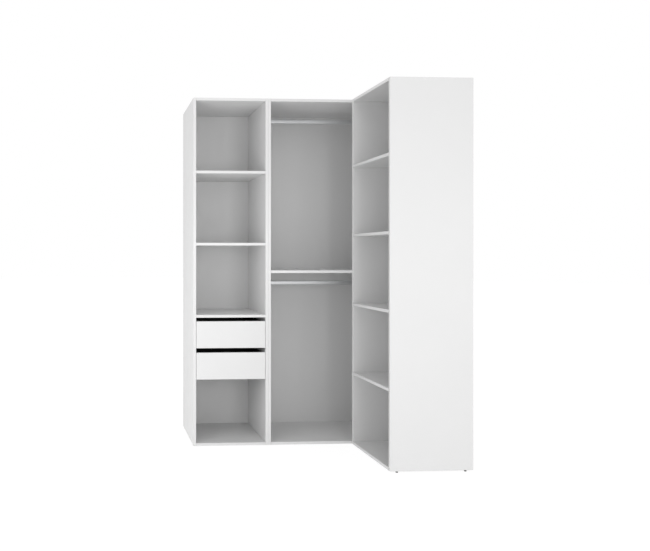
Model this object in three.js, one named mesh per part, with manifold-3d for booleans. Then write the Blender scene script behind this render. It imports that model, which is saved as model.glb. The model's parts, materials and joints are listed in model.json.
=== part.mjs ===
// Corner wardrobe of three open modules, in millimetres, +Z up.
// The tower has three shelves and two inset drawers. The corner module beside it has a shelf and two hanging
// rails, and its right part runs on behind the end module. The end module has four shelves and is turned
// round, so that its open front faces the tower.
// +X runs to the right along the rear wall and +Y towards that wall. The origin is on the floor under the
// middle of the whole wardrobe.

import * as THREE from 'three';
import { mergeVertices } from 'three/addons/utils/BufferGeometryUtils.js';
import Module from 'manifold-3d';

const wasm = await Module();
wasm.setup();

// Boards and modules
const BOARD_THICKNESS = 18;
const MODULE_HEIGHT = 2300;
const MODULE_DEPTH = 500;
const TOWER_WIDTH = 500;
const CORNER_WIDTH = 1067;
const END_WIDTH = 550;

// Clearance between pieces that meet, and the overrun of every cut
const FIT_GAP = 0.3;
const CUT_OVERRUN = 1;

// Clear heights between boards, counted down from the top board
const TOWER_TOP_BAY = 463;
const TOWER_BAY = 459;
const END_TOP_BAY = 421;
const END_BAY = 442;
const TOWER_SHELF_COUNT = 3;
const END_SHELF_COUNT = 4;

// Back panels, held in a groove that runs round each module
const BACK_THICKNESS = 3;
const BACK_SETBACK = 8;
const BACK_GROOVE_DEPTH = 8;
const BACK_EDGE_ROOM = 1;

// Dowels, glued in the ends of the horizontal boards
const DOWEL_DIAMETER = 8;
const DOWEL_REACH = 10;
const DOWEL_INSET = 80;
const DOWEL_SIDES = 8;

// Glides under the side panels
const GLIDE_HEIGHT = 8;
const GLIDE_DIAMETER = 14;
const GLIDE_CHAMFER = 1;
const GLIDE_STEM_DIAMETER = 6;
const GLIDE_STEM_LENGTH = 20;
const GLIDE_INSET = 44;
const GLIDE_SIDES = 12;

// Hanging rails, each an upright oval tube with a socket at both ends
const RAIL_WIDTH = 15;
const RAIL_HEIGHT = 30;
const RAIL_WALL = 1.2;
const RAIL_DROP = 76;
const RAIL_SETBACK = 275;
const SOCKET_FLANGE_WIDTH = 34;
const SOCKET_FLANGE_THICKNESS = 2.5;
const SOCKET_CUP_WALL = 2.5;
const SOCKET_CUP_LENGTH = 13;
const RAIL_SIDES = 20;

// Drawers, counted down from the lowest tower shelf
const DRAWER_FRONT_HEIGHT = 177;
const DRAWER_SIDE_GAP = 2;
const UPPER_GRIP_GAP = 25;
const LOWER_GRIP_GAP = 30;
const DRAWER_WALL_THICKNESS = 12;
const DRAWER_WALL_HEIGHT = 161;
const DRAWER_WALL_RAISE = 12;
const DRAWER_REAR_ROOM = 30;
const DRAWER_BASE_THICKNESS = 3;
const DRAWER_BASE_RAISE = 9;
const DRAWER_BASE_GROOVE_DEPTH = 5;
const DRAWER_BASE_EDGE_ROOM = 0.5;
const DRAWER_DOWEL_DIAMETER = 6;
const DRAWER_DOWEL_REACH = 8;
const DRAWER_DOWEL_INSET = 40;

// Telescopic runners of three nested steel channels
const RUNNER_SPACE = 13;
const RUNNER_HEIGHT = 45;
const RUNNER_STEEL = 1.2;
const RUNNER_PLAY = 0.4;
const RUNNER_RAISE = 30;
const RUNNER_FRONT_ROOM = 3;
const RUNNER_REAR_ROOM = 19;

// Sizes that follow from those above
const backFace = MODULE_DEPTH - BACK_SETBACK - BACK_THICKNESS;
const shelfDepth = backFace - FIT_GAP;
const backInsertion = BACK_GROOVE_DEPTH - BACK_EDGE_ROOM;
const topBoardZ = MODULE_HEIGHT - BOARD_THICKNESS;
const towerOpening = TOWER_WIDTH - 2 * BOARD_THICKNESS;
const overallWidth = TOWER_WIDTH + FIT_GAP + CORNER_WIDTH;
const overallDepth = MODULE_DEPTH + FIT_GAP + END_WIDTH;

// Finishes
const whiteMelamine = () => new THREE.MeshStandardMaterial({ color: 0xf3f4f4, roughness: 0.42, metalness: 0 });
const whiteBackboard = () => new THREE.MeshStandardMaterial({ color: 0xececec, roughness: 0.6, metalness: 0 });
const blackBoard = () => new THREE.MeshStandardMaterial({ color: 0x17181a, roughness: 0.55, metalness: 0 });
const zincSteel = () => new THREE.MeshStandardMaterial({ color: 0xb4b8ba, roughness: 0.38, metalness: 1 });
const satinTube = () => new THREE.MeshStandardMaterial({ color: 0xc6cacc, roughness: 0.3, metalness: 1 });
const darkPlastic = () => new THREE.MeshStandardMaterial({ color: 0x2b2c2e, roughness: 0.6, metalness: 0 });

// Closed solid of a three.js geometry
function solidOf(geometry) {
  geometry.deleteAttribute('normal');
  geometry.deleteAttribute('uv');
  const welded = mergeVertices(geometry);
  return new wasm.Manifold(new wasm.Mesh({
    numProp: 3,
    vertProperties: Float32Array.from(welded.attributes.position.array),
    triVerts: Uint32Array.from(welded.index.array),
  }));
}

// Named mesh of a solid
function meshOf(name, material, solid) {
  const { vertProperties, triVerts } = solid.getMesh();
  const geometry = new THREE.BufferGeometry();
  geometry.setAttribute('position', new THREE.BufferAttribute(vertProperties, 3));
  geometry.setIndex(new THREE.BufferAttribute(triVerts, 1));
  geometry.computeVertexNormals();
  const mesh = new THREE.Mesh(geometry, material);
  mesh.name = name;
  return mesh;
}

// Box between two values along each axis, in either order
function slab([x0, x1], [y0, y1], [z0, z1]) {
  const geometry = new THREE.BoxGeometry(Math.abs(x1 - x0), Math.abs(y1 - y0), Math.abs(z1 - z0));
  return geometry.translate((x0 + x1) / 2, (y0 + y1) / 2, (z0 + z1) / 2);
}

// Round rod along one axis, around its middle point
function rod(axis, [x, y, z], diameter, length) {
  const geometry = new THREE.CylinderGeometry(diameter / 2, diameter / 2, length, DOWEL_SIDES);
  if (axis === 'x') geometry.rotateZ(-Math.PI / 2);
  if (axis === 'z') geometry.rotateX(Math.PI / 2);
  return geometry.translate(x, y, z);
}

// Board with its low corner at the mesh's own origin
function board(name, material, [width, depth, height], { cuts = [], joins = [] } = {}) {
  let solid = solidOf(slab([0, width], [0, depth], [0, height]));
  for (const cut of cuts) {
    solid = solid.subtract(solidOf(cut));
  }
  for (const join of joins) {
    solid = solid.add(solidOf(join));
  }
  return meshOf(name, material, solid);
}

// Depths of the two dowels at each end of a horizontal board
function dowelPlaces(boardDepth) {
  return [DOWEL_INSET, boardDepth - DOWEL_INSET];
}

// Groove for a back panel, between two values along x and z
function backGroove(xSpan, zSpan) {
  return slab(xSpan, [backFace - FIT_GAP, backFace + BACK_THICKNESS + FIT_GAP], zSpan);
}

// Horizontal boards of a module: name, height of the underside, depth, and which face has the groove
function moduleLevels(shelves) {
  return [
    { name: 'bottom', z: 0, depth: MODULE_DEPTH, grooveFace: 'upper' },
    { name: 'top', z: topBoardZ, depth: MODULE_DEPTH, grooveFace: 'lower' },
    ...shelves.map((shelf) => ({ ...shelf, depth: shelfDepth })),
  ];
}

// Upright side panel with its back groove, dowel bores and glide bores
function sidePanel(name, isLeft, levels) {
  const innerFace = isLeft ? BOARD_THICKNESS : 0;
  const inward = isLeft ? -1 : 1;
  const outside = innerFace - inward * CUT_OVERRUN;
  const cuts = [backGroove(
    [outside, innerFace + inward * BACK_GROOVE_DEPTH],
    [-CUT_OVERRUN, MODULE_HEIGHT + CUT_OVERRUN],
  )];
  for (const level of levels) {
    for (const y of dowelPlaces(level.depth)) {
      const boreMiddle = innerFace + inward * (DOWEL_REACH - CUT_OVERRUN) / 2;
      const z = level.z + BOARD_THICKNESS / 2;
      cuts.push(rod('x', [boreMiddle, y, z], DOWEL_DIAMETER + 2 * FIT_GAP, DOWEL_REACH + CUT_OVERRUN));
    }
  }
  const stemBore = GLIDE_STEM_LENGTH + FIT_GAP;
  for (const y of [GLIDE_INSET, MODULE_DEPTH - GLIDE_INSET]) {
    const middle = [BOARD_THICKNESS / 2, y, (stemBore - CUT_OVERRUN) / 2];
    cuts.push(rod('z', middle, GLIDE_STEM_DIAMETER + 2 * FIT_GAP, stemBore + CUT_OVERRUN));
  }
  return board(name, whiteMelamine(), [BOARD_THICKNESS, MODULE_DEPTH, MODULE_HEIGHT], { cuts });
}

// Horizontal board between two side panels, with the dowels in its ends
function horizontalBoard(name, length, level) {
  const joins = [];
  for (const y of dowelPlaces(level.depth)) {
    const rodLength = 2 * DOWEL_REACH;
    joins.push(rod('x', [0, y, BOARD_THICKNESS / 2], DOWEL_DIAMETER, rodLength));
    joins.push(rod('x', [length, y, BOARD_THICKNESS / 2], DOWEL_DIAMETER, rodLength));
  }
  const cuts = [];
  const acrossLength = [-CUT_OVERRUN, length + CUT_OVERRUN];
  if (level.grooveFace === 'upper') {
    cuts.push(backGroove(acrossLength, [BOARD_THICKNESS - BACK_GROOVE_DEPTH, BOARD_THICKNESS + CUT_OVERRUN]));
  }
  if (level.grooveFace === 'lower') {
    cuts.push(backGroove(acrossLength, [-CUT_OVERRUN, BACK_GROOVE_DEPTH]));
  }
  return board(name, whiteMelamine(), [length, level.depth, BOARD_THICKNESS], { cuts, joins });
}

// Thin panel that closes a module's back
function backPanel(name, moduleWidth) {
  const width = moduleWidth - 2 * (BOARD_THICKNESS - backInsertion);
  const height = MODULE_HEIGHT - 2 * (BOARD_THICKNESS - backInsertion);
  const mesh = board(name, whiteBackboard(), [width, BACK_THICKNESS, height]);
  mesh.position.set(BOARD_THICKNESS - backInsertion, backFace, BOARD_THICKNESS - backInsertion);
  return mesh;
}

// Glide with its foot on the floor and its stem in the side panel above
function glide(name, x, y) {
  const radius = GLIDE_DIAMETER / 2;
  const stemRadius = GLIDE_STEM_DIAMETER / 2;
  const profile = [
    [0, -GLIDE_HEIGHT],
    [radius - GLIDE_CHAMFER, -GLIDE_HEIGHT],
    [radius, -GLIDE_HEIGHT + GLIDE_CHAMFER],
    [radius, -FIT_GAP],
    [stemRadius, -FIT_GAP],
    [stemRadius, GLIDE_STEM_LENGTH],
    [0, GLIDE_STEM_LENGTH],
  ].map(([r, z]) => new THREE.Vector2(r, z));
  const geometry = new THREE.LatheGeometry(profile, GLIDE_SIDES).rotateX(Math.PI / 2);
  const mesh = meshOf(name, darkPlastic(), solidOf(geometry));
  mesh.position.set(x, y, 0);
  return mesh;
}

// Module with two sides, top, bottom, shelves, back and four glides, its front in the plane y = 0
function carcass(prefix, width, shelves) {
  const module = new THREE.Group();
  const levels = moduleLevels(shelves);
  const rightX = width - BOARD_THICKNESS;
  const left = sidePanel(`${prefix}_left_side`, true, levels);
  const right = sidePanel(`${prefix}_right_side`, false, levels);
  right.position.x = rightX;
  module.add(left, right, backPanel(`${prefix}_back`, width));

  const startX = BOARD_THICKNESS + FIT_GAP;
  for (const level of levels) {
    const mesh = horizontalBoard(`${prefix}_${level.name}`, width - 2 * startX, level);
    mesh.position.set(startX, 0, level.z);
    module.add(mesh);
  }

  const sides = [['left', BOARD_THICKNESS / 2], ['right', width - BOARD_THICKNESS / 2]];
  const places = [['front', GLIDE_INSET], ['rear', MODULE_DEPTH - GLIDE_INSET]];
  for (const [side, x] of sides) {
    for (const [place, y] of places) {
      module.add(glide(`${prefix}_glide_${place}_${side}`, x, y));
    }
  }
  return module;
}

// Shelves of equal pitch under a first bay of its own height
function shelfStack(count, topBay, bay) {
  return Array.from({ length: count }, (_, index) => ({
    name: `shelf_${index + 1}`,
    z: topBoardZ - topBay - BOARD_THICKNESS - index * (bay + BOARD_THICKNESS),
  }));
}

// Bar along x with flat sides and round top and bottom, as much higher than wide as the rail
function ovalBar([x0, x1], width) {
  const radius = width / 2;
  const rise = (RAIL_HEIGHT - RAIL_WIDTH) / 2;
  const outline = new THREE.Shape();
  outline.absarc(0, rise, radius, 0, Math.PI, false);
  outline.absarc(0, -rise, radius, Math.PI, 2 * Math.PI, false);
  const options = { depth: x1 - x0, bevelEnabled: false, curveSegments: RAIL_SIDES / 4 };
  const geometry = new THREE.ExtrudeGeometry(outline, options);
  return solidOf(geometry.rotateX(Math.PI / 2).rotateZ(Math.PI / 2).translate(x0, 0, 0));
}

// Hanging rail along x: tube and both end sockets, open along its bore
function hangingRail(name, length) {
  let solid = ovalBar([0, length], RAIL_WIDTH);
  const steps = [
    [SOCKET_CUP_LENGTH, RAIL_WIDTH + 2 * SOCKET_CUP_WALL],
    [SOCKET_FLANGE_THICKNESS, SOCKET_FLANGE_WIDTH],
  ];
  for (const [reach, width] of steps) {
    solid = solid.add(ovalBar([0, reach], width)).add(ovalBar([length - reach, length], width));
  }
  const bore = ovalBar([-CUT_OVERRUN, length + CUT_OVERRUN], RAIL_WIDTH - 2 * RAIL_WALL);
  return meshOf(name, satinTube(), solid.subtract(bore));
}

// Steel channel along y with its web at x = 0 and its flanges reaching along x, to the left where mirrored
function channel(name, reach, height, length, isMirrored) {
  const half = height / 2;
  const outline = new THREE.Shape([
    [0, -half],
    [reach, -half],
    [reach, -half + RUNNER_STEEL],
    [RUNNER_STEEL, -half + RUNNER_STEEL],
    [RUNNER_STEEL, half - RUNNER_STEEL],
    [reach, half - RUNNER_STEEL],
    [reach, half],
    [0, half],
  ].map(([x, z]) => new THREE.Vector2(isMirrored ? -x : x, z)));
  const geometry = new THREE.ExtrudeGeometry(outline, { depth: length, bevelEnabled: false });
  geometry.rotateX(Math.PI / 2).translate(0, length, 0);
  return meshOf(name, zincSteel(), solidOf(geometry));
}

// Three nested runner members beside one drawer wall, in the tower's frame
function runner(prefix, isLeft, centreZ) {
  const group = new THREE.Group();
  const startY = BOARD_THICKNESS + RUNNER_FRONT_ROOM;
  const length = backFace - startY - RUNNER_REAR_ROOM;
  const step = RUNNER_STEEL + RUNNER_PLAY;
  const outerReach = RUNNER_SPACE - 2 * FIT_GAP - RUNNER_STEEL - RUNNER_PLAY;
  const middleReach = outerReach - step;
  const drawerReach = RUNNER_SPACE - 2 * FIT_GAP - 2 * step;
  const members = [
    ['cabinet_member', FIT_GAP, outerReach, RUNNER_HEIGHT, false],
    ['middle_member', FIT_GAP + step, middleReach, RUNNER_HEIGHT - 2 * step, false],
    ['drawer_member', RUNNER_SPACE - FIT_GAP, drawerReach, RUNNER_HEIGHT - 2 * 2 * step, true],
  ];
  for (const [name, offset, reach, height, opensToCabinet] of members) {
    const mesh = channel(`${prefix}_${name}`, reach, height, length, isLeft === opensToCabinet);
    mesh.position.set(isLeft ? offset : -offset, startY, centreZ);
    group.add(mesh);
  }
  group.position.x = isLeft ? BOARD_THICKNESS : TOWER_WIDTH - BOARD_THICKNESS;
  return group;
}

// Drawer with its front's low left corner at the group's origin
function drawer(prefix) {
  const group = new THREE.Group();
  const frontWidth = towerOpening - 2 * DRAWER_SIDE_GAP;
  const boxWidth = towerOpening - 2 * RUNNER_SPACE;
  const boxX = (frontWidth - boxWidth) / 2;
  const wallY = BOARD_THICKNESS + FIT_GAP;
  const wallLength = backFace - DRAWER_REAR_ROOM - wallY;
  const innerWidth = boxWidth - 2 * DRAWER_WALL_THICKNESS;
  const baseZ = DRAWER_WALL_RAISE + DRAWER_BASE_RAISE;
  const baseInsertion = DRAWER_BASE_GROOVE_DEPTH - DRAWER_BASE_EDGE_ROOM;
  const grooveLow = DRAWER_BASE_RAISE - FIT_GAP;
  const grooveHigh = DRAWER_BASE_RAISE + DRAWER_BASE_THICKNESS + FIT_GAP;
  const bore = DRAWER_DOWEL_DIAMETER + 2 * FIT_GAP;
  const boreLength = DRAWER_DOWEL_REACH + CUT_OVERRUN;
  const dowelHeights = [DRAWER_DOWEL_INSET, DRAWER_WALL_HEIGHT - DRAWER_DOWEL_INSET];
  const wallMiddle = DRAWER_WALL_THICKNESS / 2;

  const frontCuts = [slab(
    [boxX + DRAWER_WALL_THICKNESS - DRAWER_BASE_GROOVE_DEPTH,
      boxX + boxWidth - DRAWER_WALL_THICKNESS + DRAWER_BASE_GROOVE_DEPTH],
    [BOARD_THICKNESS - DRAWER_BASE_GROOVE_DEPTH, BOARD_THICKNESS + CUT_OVERRUN],
    [DRAWER_WALL_RAISE + grooveLow, DRAWER_WALL_RAISE + grooveHigh],
  )];
  for (const x of [boxX + wallMiddle, boxX + boxWidth - wallMiddle]) {
    for (const height of dowelHeights) {
      const middle = [x, BOARD_THICKNESS - (DRAWER_DOWEL_REACH - CUT_OVERRUN) / 2, DRAWER_WALL_RAISE + height];
      frontCuts.push(rod('y', middle, bore, boreLength));
    }
  }
  const frontSize = [frontWidth, BOARD_THICKNESS, DRAWER_FRONT_HEIGHT];
  group.add(board(`${prefix}_front`, whiteMelamine(), frontSize, { cuts: frontCuts }));

  for (const isLeft of [true, false]) {
    const innerFace = isLeft ? DRAWER_WALL_THICKNESS : 0;
    const inward = isLeft ? -1 : 1;
    const outside = innerFace - inward * CUT_OVERRUN;
    const cuts = [slab(
      [outside, innerFace + inward * DRAWER_BASE_GROOVE_DEPTH],
      [-CUT_OVERRUN, wallLength + CUT_OVERRUN],
      [grooveLow, grooveHigh],
    )];
    const joins = [];
    for (const height of dowelHeights) {
      const boreMiddle = innerFace + inward * (DRAWER_DOWEL_REACH - CUT_OVERRUN) / 2;
      cuts.push(rod('x', [boreMiddle, wallLength - wallMiddle, height], bore, boreLength));
      joins.push(rod('y', [wallMiddle, 0, height], DRAWER_DOWEL_DIAMETER, 2 * DRAWER_DOWEL_REACH));
    }
    const side = isLeft ? 'left' : 'right';
    const size = [DRAWER_WALL_THICKNESS, wallLength, DRAWER_WALL_HEIGHT];
    const wall = board(`${prefix}_${side}_wall`, blackBoard(), size, { cuts, joins });
    const wallX = isLeft ? boxX : boxX + boxWidth - DRAWER_WALL_THICKNESS;
    wall.position.set(wallX, wallY, DRAWER_WALL_RAISE);
    group.add(wall);
  }

  const rearLength = innerWidth - 2 * FIT_GAP;
  const rearLift = grooveHigh;
  const rearJoins = [];
  for (const x of [0, rearLength]) {
    for (const height of dowelHeights) {
      const middle = [x, wallMiddle, height - rearLift];
      rearJoins.push(rod('x', middle, DRAWER_DOWEL_DIAMETER, 2 * DRAWER_DOWEL_REACH));
    }
  }
  const rearSize = [rearLength, DRAWER_WALL_THICKNESS, DRAWER_WALL_HEIGHT - rearLift];
  const rear = board(`${prefix}_rear_wall`, blackBoard(), rearSize, { joins: rearJoins });
  rear.position.set(
    boxX + DRAWER_WALL_THICKNESS + FIT_GAP,
    wallY + wallLength - DRAWER_WALL_THICKNESS,
    DRAWER_WALL_RAISE + rearLift,
  );
  group.add(rear);

  const baseStartY = BOARD_THICKNESS - baseInsertion;
  const baseSize = [innerWidth + 2 * baseInsertion, wallY + wallLength - baseStartY, DRAWER_BASE_THICKNESS];
  const base = board(`${prefix}_base`, blackBoard(), baseSize);
  base.position.set(boxX + DRAWER_WALL_THICKNESS - baseInsertion, baseStartY, baseZ);
  group.add(base);
  return group;
}

// Tower: carcass, two drawers and their runners
function tower() {
  const shelves = shelfStack(TOWER_SHELF_COUNT, TOWER_TOP_BAY, TOWER_BAY);
  const module = carcass('tower', TOWER_WIDTH, shelves);
  const lowestShelf = shelves[shelves.length - 1].z;
  const upperZ = lowestShelf - UPPER_GRIP_GAP - DRAWER_FRONT_HEIGHT;
  const lowerZ = upperZ - LOWER_GRIP_GAP - DRAWER_FRONT_HEIGHT;
  for (const [level, z] of [['upper', upperZ], ['lower', lowerZ]]) {
    const box = drawer(`${level}_drawer`);
    box.position.set(BOARD_THICKNESS + DRAWER_SIDE_GAP, 0, z);
    const runnerZ = z + DRAWER_WALL_RAISE + RUNNER_RAISE + RUNNER_HEIGHT / 2;
    module.add(box, runner(`${level}_left`, true, runnerZ), runner(`${level}_right`, false, runnerZ));
  }
  return module;
}

// Corner module: carcass with one shelf half way up, and a rail under its top and its shelf
function corner() {
  const shelfZ = (MODULE_HEIGHT - BOARD_THICKNESS) / 2;
  const module = carcass('corner', CORNER_WIDTH, [{ name: 'shelf', z: shelfZ }]);
  const startX = BOARD_THICKNESS + FIT_GAP;
  for (const [level, boardZ] of [['upper', topBoardZ], ['lower', shelfZ]]) {
    const rail = hangingRail(`corner_${level}_rail`, CORNER_WIDTH - 2 * startX);
    rail.position.set(startX, RAIL_SETBACK, boardZ - RAIL_DROP);
    module.add(rail);
  }
  return module;
}

// End module: carcass with a stack of shelves
function end() {
  return carcass('end', END_WIDTH, shelfStack(END_SHELF_COUNT, END_TOP_BAY, END_BAY));
}

// Whole wardrobe, its side panels standing a glide's height above the floor
function wardrobe() {
  const group = new THREE.Group();
  const frontY = overallDepth / 2 - MODULE_DEPTH;
  const towerModule = tower();
  towerModule.position.set(-overallWidth / 2, frontY, GLIDE_HEIGHT);
  const cornerModule = corner();
  cornerModule.position.set(-overallWidth / 2 + TOWER_WIDTH + FIT_GAP, frontY, GLIDE_HEIGHT);
  const endModule = end();
  endModule.rotation.z = -Math.PI / 2;
  endModule.position.set(overallWidth / 2 - MODULE_DEPTH, frontY - FIT_GAP, GLIDE_HEIGHT);
  group.add(towerModule, cornerModule, endModule);
  return group;
}

export default wardrobe();
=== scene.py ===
"""Corner wardrobe: boards, drawers, runners, rails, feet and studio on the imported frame."""

import json
import math

import bmesh
import bpy
from bpy.props import FloatProperty, FloatVectorProperty, IntProperty, PointerProperty
from bpy.types import Operator, Panel, PropertyGroup
from mathutils import Matrix, Vector

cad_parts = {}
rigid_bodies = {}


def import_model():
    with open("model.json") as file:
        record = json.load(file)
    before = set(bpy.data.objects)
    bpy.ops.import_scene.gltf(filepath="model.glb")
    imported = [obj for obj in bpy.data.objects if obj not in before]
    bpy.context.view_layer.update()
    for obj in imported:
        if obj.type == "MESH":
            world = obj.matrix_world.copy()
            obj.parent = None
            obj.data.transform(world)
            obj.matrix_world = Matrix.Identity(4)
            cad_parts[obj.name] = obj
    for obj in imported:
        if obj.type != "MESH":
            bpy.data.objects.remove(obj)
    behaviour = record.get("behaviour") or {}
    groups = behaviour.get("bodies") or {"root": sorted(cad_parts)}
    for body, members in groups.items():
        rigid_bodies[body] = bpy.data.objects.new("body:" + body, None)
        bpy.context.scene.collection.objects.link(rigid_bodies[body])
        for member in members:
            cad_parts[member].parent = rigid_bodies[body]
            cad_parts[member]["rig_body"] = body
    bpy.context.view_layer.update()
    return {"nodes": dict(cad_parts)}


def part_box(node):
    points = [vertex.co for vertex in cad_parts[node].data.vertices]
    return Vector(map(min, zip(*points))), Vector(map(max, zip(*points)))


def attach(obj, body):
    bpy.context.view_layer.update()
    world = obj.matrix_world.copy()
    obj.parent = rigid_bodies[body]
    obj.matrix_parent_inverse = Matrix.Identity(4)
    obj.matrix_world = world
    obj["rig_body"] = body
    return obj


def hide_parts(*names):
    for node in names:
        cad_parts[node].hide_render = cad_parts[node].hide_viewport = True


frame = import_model()

bl_info = {
    "name": "Corner wardrobe",
    "version": (1, 0, 0),
    "blender": (4, 5, 0),
    "location": "View3D > Sidebar > Wardrobe",
    "description": "Builds an open corner wardrobe with two drawers and two hanging rails",
    "category": "Object",
}

NODES = frame["nodes"]

# Shape tests
MERGE_DISTANCE = 0.00001
NEAR = 0.00005
LONG_EDGE = 0.1
FLAT_ANGLE = 0.002
CORNER_ANGLE = 1.0
CREASE_ANGLE = 0.37
FACING_SHARE = 0.98
SMALL_SIDE_AREA = 0.0001

FULL_TURN = 2 * math.pi
RIM_STEPS = 2

# Axes and sides of a board
AXES = range(3)
ACROSS, DEEP, UP = AXES
LOW, HIGH = False, True

# Sockets of the colour mix node
MIX_SHARE, MIX_FIRST, MIX_SECOND, MIX_RESULT = 0, 6, 7, 2

# Each module's name, the axis its open front faces and the axis its shelves span
MODULES = (("tower", DEEP, ACROSS), ("corner", DEEP, ACROSS), ("end", ACROSS, DEEP))
SIDES = ("left", "right")

# The two drawers, and the two hanging rails
LEVELS = ("upper", "lower")

# Each kind of piece: the record's material slot and the finishes on the piece
WHITE_BOARD = ("white_melamine", ("white_melamine_face", "white_edge_band", "raw_chipboard"))
THIN_BACK = ("white_backboard", ("white_back_lacquer", "bare_hardboard"))
BLACK_BOARD = ("black_board", ("black_melamine",))
STEEL_PART = ("zinc_steel", ("plated_steel",))
TUBE_PART = ("satin_tube", ("rail_satin",))
PLASTIC_PART = ("dark_plastic", ("moulded_plastic",))

# Which of its kind's finishes a board shows on its sides, its rounding and its milled places
FACE, BAND, RAW = range(3)
LACQUER, FIBRE = range(2)
BANDED_LOOKS = {"face": FACE, "rounding": BAND, "milled": RAW}
FRONT_LOOKS = {**BANDED_LOOKS, "face": BAND, (DEEP, LOW): FACE, (DEEP, HIGH): FACE}
BACK_LOOKS = {"face": FIBRE, "rounding": FIBRE, "milled": FIBRE}
BLACK_LOOKS = {"face": FACE, "rounding": FACE, "milled": FACE}


# Settings

LENGTH_DIGITS = 5
MOST_WATTS = 5000.0


def number_setting(name, description, default, limits, subtype="NONE", **options):
    """A number between two limits."""
    low, high = limits
    return FloatProperty(
        name=name,
        description=description,
        default=default,
        min=low,
        max=high,
        subtype=subtype,
        **options,
    )


def length_setting(name, description, default, limits):
    """A length between two limits, in metres."""
    options = {"precision": LENGTH_DIGITS, "unit": "LENGTH"}
    return number_setting(name, description, default, limits, **options)


def power_setting(name, description, default):
    """A light's power, in watts."""
    return number_setting(name, description, default, (0.0, MOST_WATTS), unit="POWER")


def count_setting(name, description, default, limits):
    """A whole number between two limits."""
    low, high = limits
    return IntProperty(name=name, description=description, default=default, min=low, max=high)


def colour_setting(name, description, default):
    """A colour of three shares."""
    return FloatVectorProperty(
        name=name,
        description=description,
        default=default,
        min=0.0,
        max=1.0,
        size=len(default),
        subtype="COLOR",
    )


class BoardSettings(PropertyGroup):
    """Sizes that the boards of the carcass and the drawers share."""

    edge_radius: length_setting(
        "Edge radius",
        "Rounding trimmed on the banded edges of the boards",
        0.0009,
        (0.0001, 0.003),
    )
    edge_steps: count_setting("Edge steps", "Number of flats in each rounded edge", 2, (1, 6))
    thin_radius: length_setting(
        "Thin edge radius",
        "Rounding on the edges of the thin backs and drawer floors",
        0.0003,
        (0.0001, 0.001),
    )
    pin_diameter: length_setting(
        "Pin head",
        "Width of the panel pins that hold the backs to the shelves",
        0.0045,
        (0.002, 0.01),
    )
    pin_proud: length_setting(
        "Pin height", "How far a pin head stands off the back", 0.0006, (0.0001, 0.002)
    )
    pin_pitch: length_setting(
        "Pin pitch", "Widest distance between two panel pins in a row", 0.15, (0.05, 0.4)
    )
    pin_inset: length_setting(
        "Pin inset", "Distance of the last pin from the end of the shelf", 0.04, (0.01, 0.2)
    )


class HardwareSettings(PropertyGroup):
    """Sizes of the rails, runners, screws and feet."""

    tube_wall: length_setting(
        "Tube wall", "Wall thickness of the hanging rails", 0.0012, (0.0005, 0.003)
    )
    tube_width: length_setting(
        "Tube width", "Width of the oval hanging rails", 0.015, (0.008, 0.03)
    )
    tube_height: length_setting(
        "Tube height", "Height of the oval hanging rails", 0.03, (0.01, 0.05)
    )
    flange_thickness: length_setting(
        "Flange thickness", "Thickness of the rail sockets' flanges", 0.0025, (0.001, 0.005)
    )
    cup_wall: length_setting(
        "Cup wall", "Wall thickness of the cup that holds the rail's end", 0.0025, (0.001, 0.004)
    )
    cup_length: length_setting(
        "Cup length", "Length of the rail sockets from the board", 0.013, (0.005, 0.03)
    )
    metal_radius: length_setting(
        "Metal edge radius",
        "Rounding on the edges of sockets and pressed channels",
        0.0004,
        (0.0001, 0.0005),
    )
    screw_radius: length_setting(
        "Screw head radius",
        "Radius of the screw heads on sockets and runners",
        0.0029,
        (0.0015, 0.005),
    )
    screw_height: length_setting(
        "Screw head height", "How far a screw head stands off the metal", 0.0012, (0.0003, 0.003)
    )
    runner_steel: length_setting(
        "Runner steel", "Wall thickness of the runner channels", 0.0012, (0.0005, 0.003)
    )
    lever_length: length_setting(
        "Lever length",
        "Length of the levers that release the drawers from their runners",
        0.042,
        (0.02, 0.08),
    )
    lever_width: length_setting(
        "Lever width", "Width of the release levers", 0.009, (0.004, 0.02)
    )
    lever_thickness: length_setting(
        "Lever thickness", "Thickness of the release levers", 0.0016, (0.0008, 0.003)
    )
    turn_steps: count_setting(
        "Turn steps", "Number of flats round a tube or socket, a multiple of four", 48, (12, 128)
    )


class FinishSettings(PropertyGroup):
    """Colours of the boards, edges, metal and plastic."""

    white: colour_setting("White board", "Colour of the melamine faces", (0.70, 0.70, 0.70))
    edging: colour_setting("Edge band", "Colour of the banded edges", (0.70, 0.70, 0.70))
    backing: colour_setting(
        "Back lacquer", "Colour of the printed side of the thin backs", (0.70, 0.70, 0.70)
    )
    hardboard: colour_setting(
        "Hardboard", "Colour of the bare side of the thin backs", (0.24, 0.135, 0.07)
    )
    dark_flakes: colour_setting(
        "Dark flakes", "Colour of the darkest flakes of unbanded chipboard", (0.2, 0.12, 0.06)
    )
    flakes: colour_setting(
        "Flakes", "Colour of the middling flakes of unbanded chipboard", (0.44, 0.3, 0.17)
    )
    pale_flakes: colour_setting(
        "Pale flakes", "Colour of the palest flakes of unbanded chipboard", (0.62, 0.45, 0.27)
    )
    pores: colour_setting(
        "Pores", "Colour of the pores between the flakes", (0.11, 0.065, 0.035)
    )
    black: colour_setting("Black board", "Colour of the drawer boxes", (0.005, 0.005, 0.0055))
    steel: colour_setting(
        "Zinc steel", "Colour of the runners, screws and pins", (0.6, 0.62, 0.64)
    )
    tube: colour_setting(
        "Satin tube", "Colour of the hanging rails and their sockets", (0.70, 0.71, 0.72)
    )
    plastic: colour_setting(
        "Dark plastic", "Colour of the feet and the release levers", (0.014, 0.014, 0.015)
    )


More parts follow.
